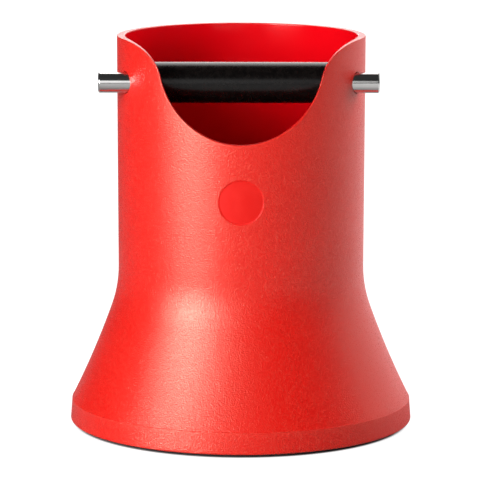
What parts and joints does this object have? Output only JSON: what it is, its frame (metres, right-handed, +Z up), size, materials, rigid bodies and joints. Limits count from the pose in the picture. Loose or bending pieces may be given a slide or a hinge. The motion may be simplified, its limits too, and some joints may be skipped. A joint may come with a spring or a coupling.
{
  "type": "knock box",
  "caption": "Counter-top knock box for espresso pucks: a flared tub with a scooped front, and a rubber-sleeved steel bar across its mouth.",
  "frame": {"origin": "on the counter, under the middle of the tub's base", "axes": "+Z up out of the mouth; the scooped front faces -Y; the knock bar lies along X"},
  "size_m": [0.1668, 0.1668, 0.1898],
  "materials": {
    "tub": "finely grained outside, polished inside",
    "floor": "satin",
    "foot": "matt",
    "bar": "bright drawn stainless",
    "sleeve": "satin"
  },
  "bodies": {
    "tub": {"tub_shell": "tub", "floor_pan": "floor", "foot_ring": "foot"},
    "sleeve": {"bar_sleeve": "sleeve"},
    "bar": {"knock_bar": "bar"}
  },
  "joints": [
    {"name": "bar_spin", "type": "hinge", "parent": "tub", "child": "sleeve", "pos_m": [0, -0.023, 0.1693], "axis": [1, 0, 0], "continuous": true},
    {"name": "bar_draw", "type": "slide", "parent": "sleeve", "child": "bar", "axis": [1, 0, 0], "range_m": [-0.13, 0.13]}
  ]
}
